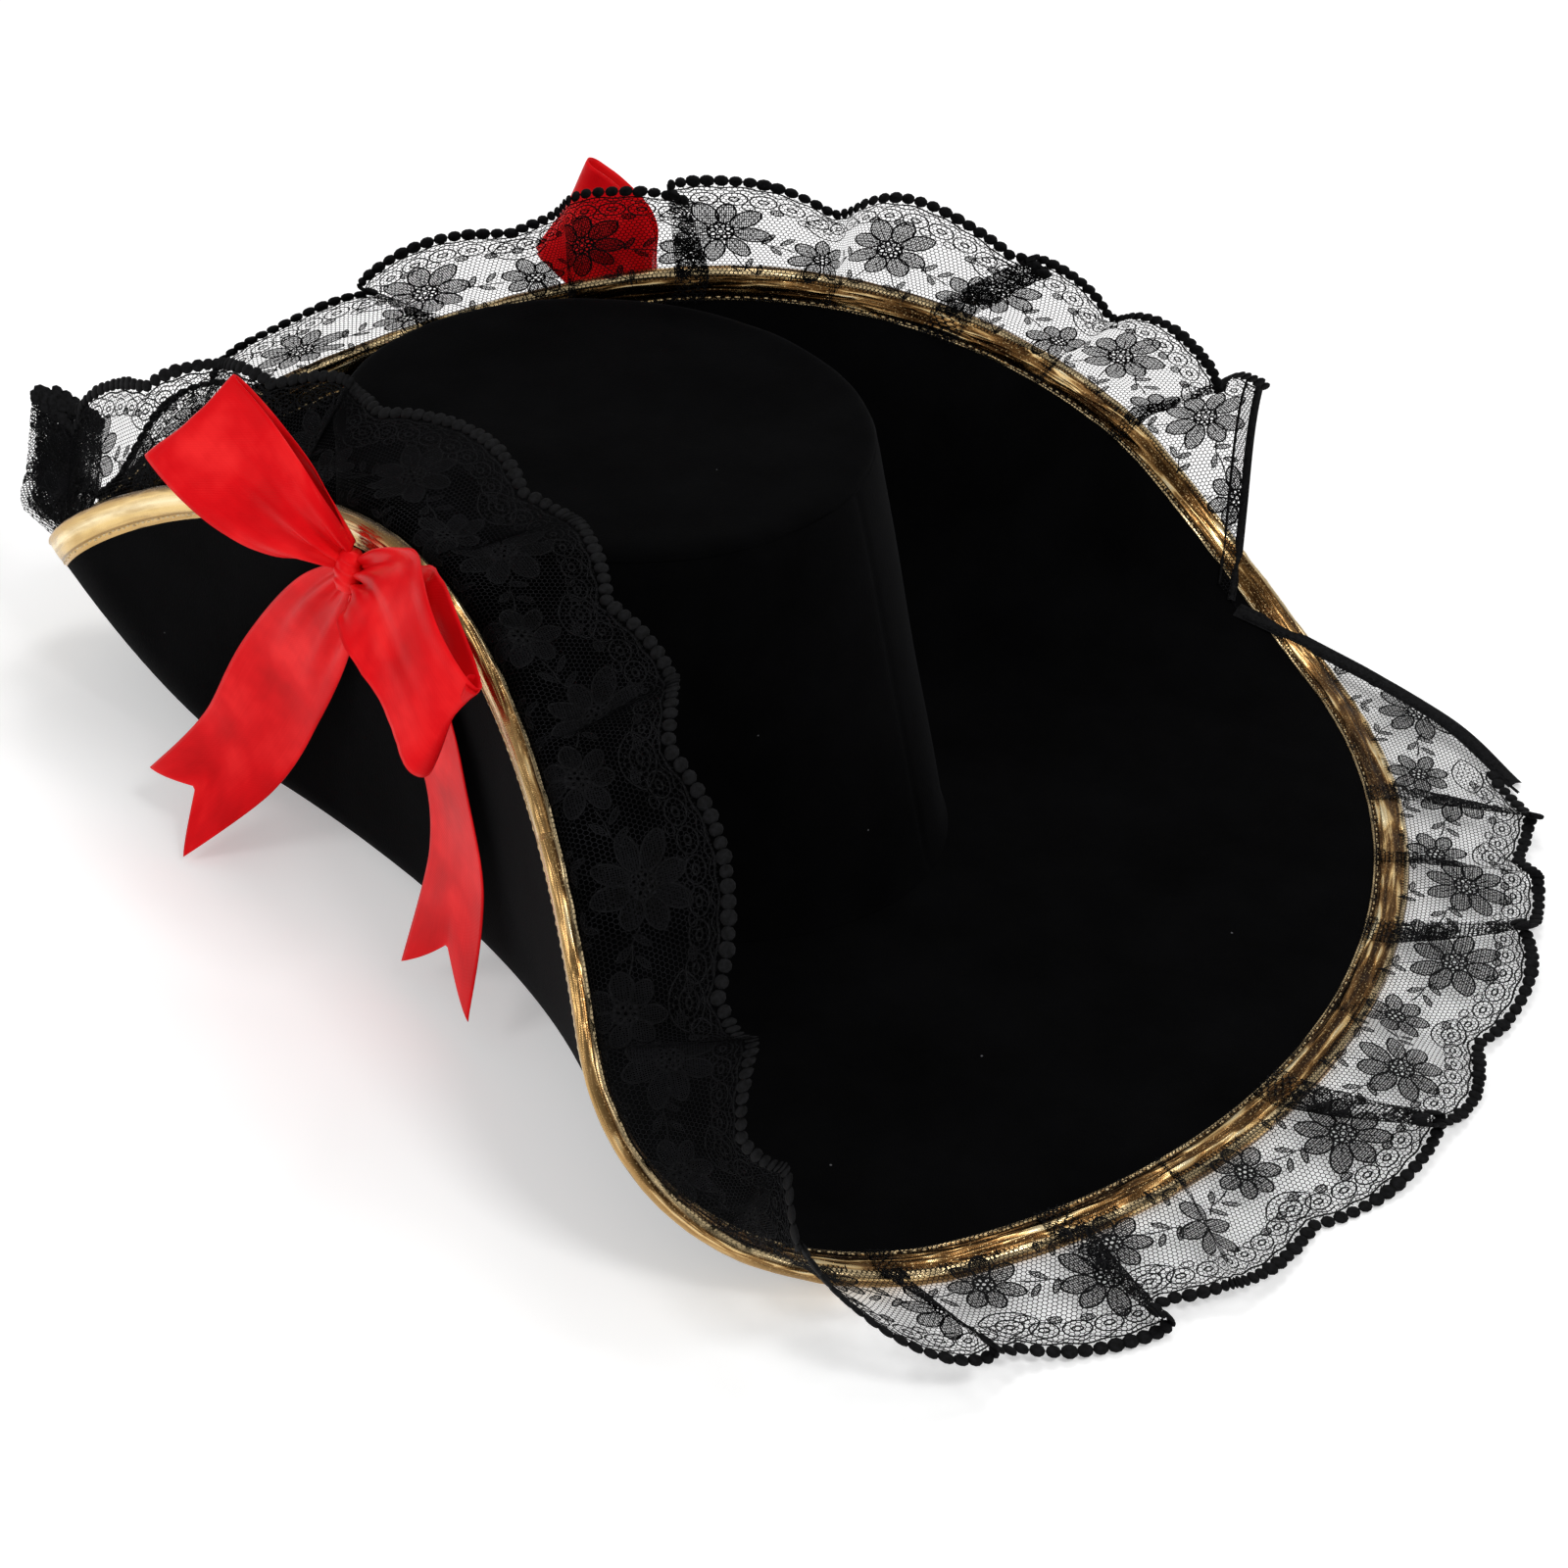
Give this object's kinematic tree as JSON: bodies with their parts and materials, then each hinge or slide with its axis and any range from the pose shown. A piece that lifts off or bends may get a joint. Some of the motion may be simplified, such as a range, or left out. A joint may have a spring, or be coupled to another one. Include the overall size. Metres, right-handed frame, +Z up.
{
  "type": "pirate hat",
  "caption": "Pirate hat: tapering round crown, brim turned up at both sides to a front point, gold-taped edge with a lace ruffle, and a ribbon bow on each turned-up side.",
  "frame": {"origin": "on the table under the centre of the head opening", "axes": "+Z up out of the crown's top, -Y towards the front point, +X towards the wearer's left side"},
  "size_m": [0.4596, 0.539, 0.1807],
  "materials": {
    "velvet": "black short-pile velvet, nearly matt with a soft edge sheen",
    "buckram": "stiffened plain-weave interlining",
    "sweatband": "ribbed polyester band",
    "foam_board": "closed-cell foam board, fully covered by the cloth",
    "gold_tape": "metallic woven gold tape",
    "gold_thread": "polyester sewing thread",
    "lace": "black floral machine lace on a hexagonal net",
    "satin_ribbon": "red satin ribbon"
  },
  "bodies": {
    "hat": {"crown_tip": "velvet", "crown_side": "velvet", "crown_tip_lining": "buckram", "crown_side_lining": "buckram", "sweatband": "sweatband", "brim_top_cloth": "velvet", "brim_stiffener": "foam_board", "brim_under_cloth": "velvet", "edge_binding": "gold_tape", "binding_stitches": "gold_thread", "lace_left_strip": "lace", "lace_right_strip": "lace", "left_bow_knot": "satin_ribbon", "left_bow_front_loop": "satin_ribbon", "right_bow_knot": "satin_ribbon", "right_bow_front_loop": "satin_ribbon"},
    "left_front_tail": {"left_bow_front_tail": "satin_ribbon"},
    "left_rear_ribbon": {"left_bow_rear_loop": "satin_ribbon", "left_bow_rear_tail": "satin_ribbon"},
    "right_front_tail": {"right_bow_front_tail": "satin_ribbon"},
    "right_rear_ribbon": {"right_bow_rear_loop": "satin_ribbon", "right_bow_rear_tail": "satin_ribbon"}
  },
  "joints": [
    {"name": "left_front_tail_lift", "type": "hinge", "parent": "hat", "child": "left_front_tail", "pos_m": [0.09368, -0.05262, 0.11736], "axis": [-0.2915, -0.7997, 0.5249], "range_deg": [0, 70]},
    {"name": "left_rear_ribbon_lift", "type": "hinge", "parent": "hat", "child": "left_rear_ribbon", "pos_m": [0.09905, -0.04185, 0.1183], "axis": [-0.2298, -0.3919, -0.8908], "range_deg": [0, 30]},
    {"name": "right_front_tail_lift", "type": "hinge", "parent": "hat", "child": "right_front_tail", "pos_m": [-0.09368, -0.05262, 0.11736], "axis": [-0.2915, 0.7997, -0.5249], "range_deg": [0, 70]},
    {"name": "right_rear_ribbon_lift", "type": "hinge", "parent": "hat", "child": "right_rear_ribbon", "pos_m": [-0.09905, -0.04185, 0.1183], "axis": [-0.2298, 0.3919, 0.8908], "range_deg": [0, 40]}
  ]
}
